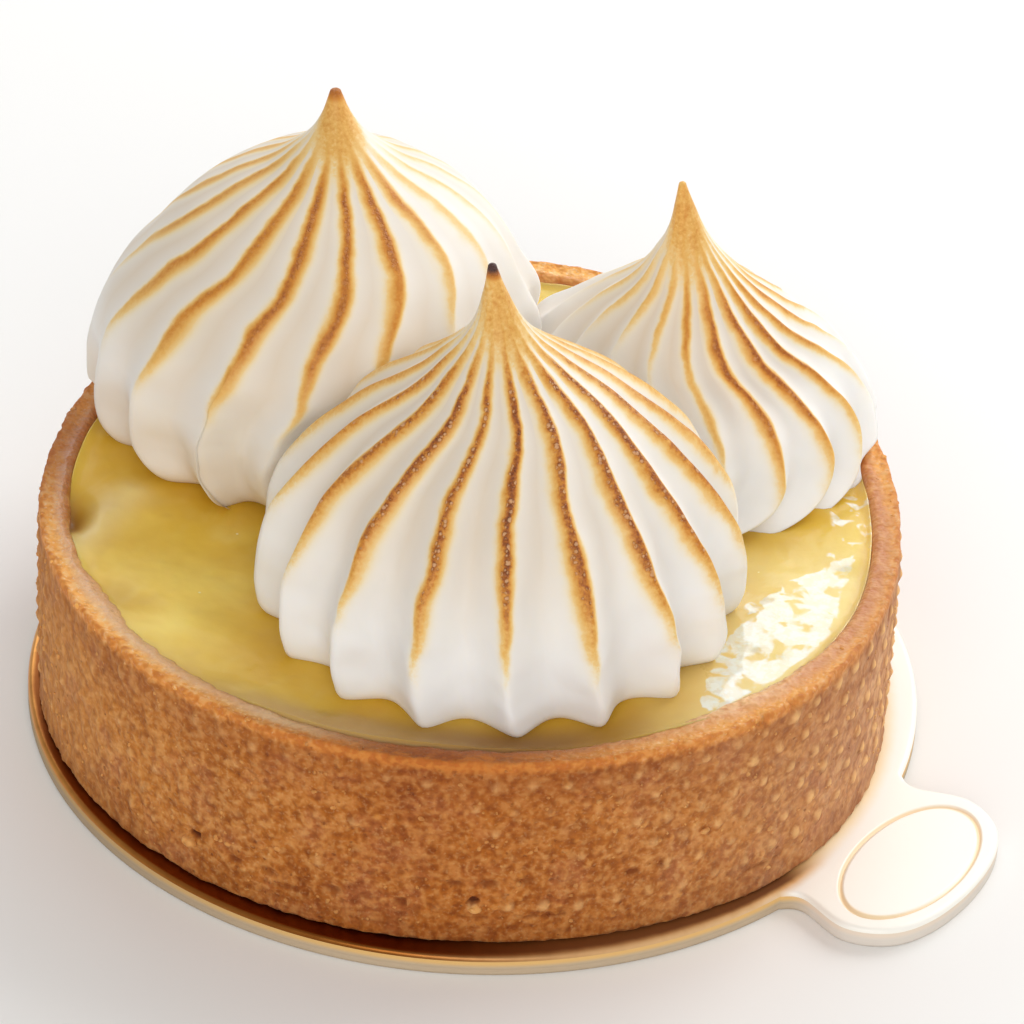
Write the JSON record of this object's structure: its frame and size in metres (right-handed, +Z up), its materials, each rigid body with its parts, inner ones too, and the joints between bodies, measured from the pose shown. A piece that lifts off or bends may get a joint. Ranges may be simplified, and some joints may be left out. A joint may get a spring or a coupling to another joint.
{
  "type": "lemon meringue tartlet",
  "caption": "Round lemon meringue tartlet: a straight-sided shortcrust shell filled with lemon curd, topped with tall fluted torched meringue kisses, on a gold card board with a finger tab.",
  "frame": {"origin": "underside of the card board, below the middle of the tart shell", "axes": "+Z up, -Y towards the viewer's side with the lowest curd showing, +X to the viewer's right, the board's tab pointing 32 degrees below +X"},
  "size_m": [0.0895, 0.0828, 0.0566],
  "materials": {
    "gold_card": "satin gold foil on the upper face, pale card at the cut edge",
    "crust": "baked shortcrust, sandy golden brown, matt, dotted by the perforated ring",
    "lemon_curd": "glossy set lemon curd, slightly lumpy",
    "meringue": "smooth satin white meringue, torched brown along the ridges and at the tips"
  },
  "bodies": {
    "root": {"gold_board": "gold_card", "tart_shell": "crust", "lemon_curd": "lemon_curd", "meringue_front": "meringue", "meringue_left": "meringue", "meringue_right": "meringue"}
  },
  "joints": []
}
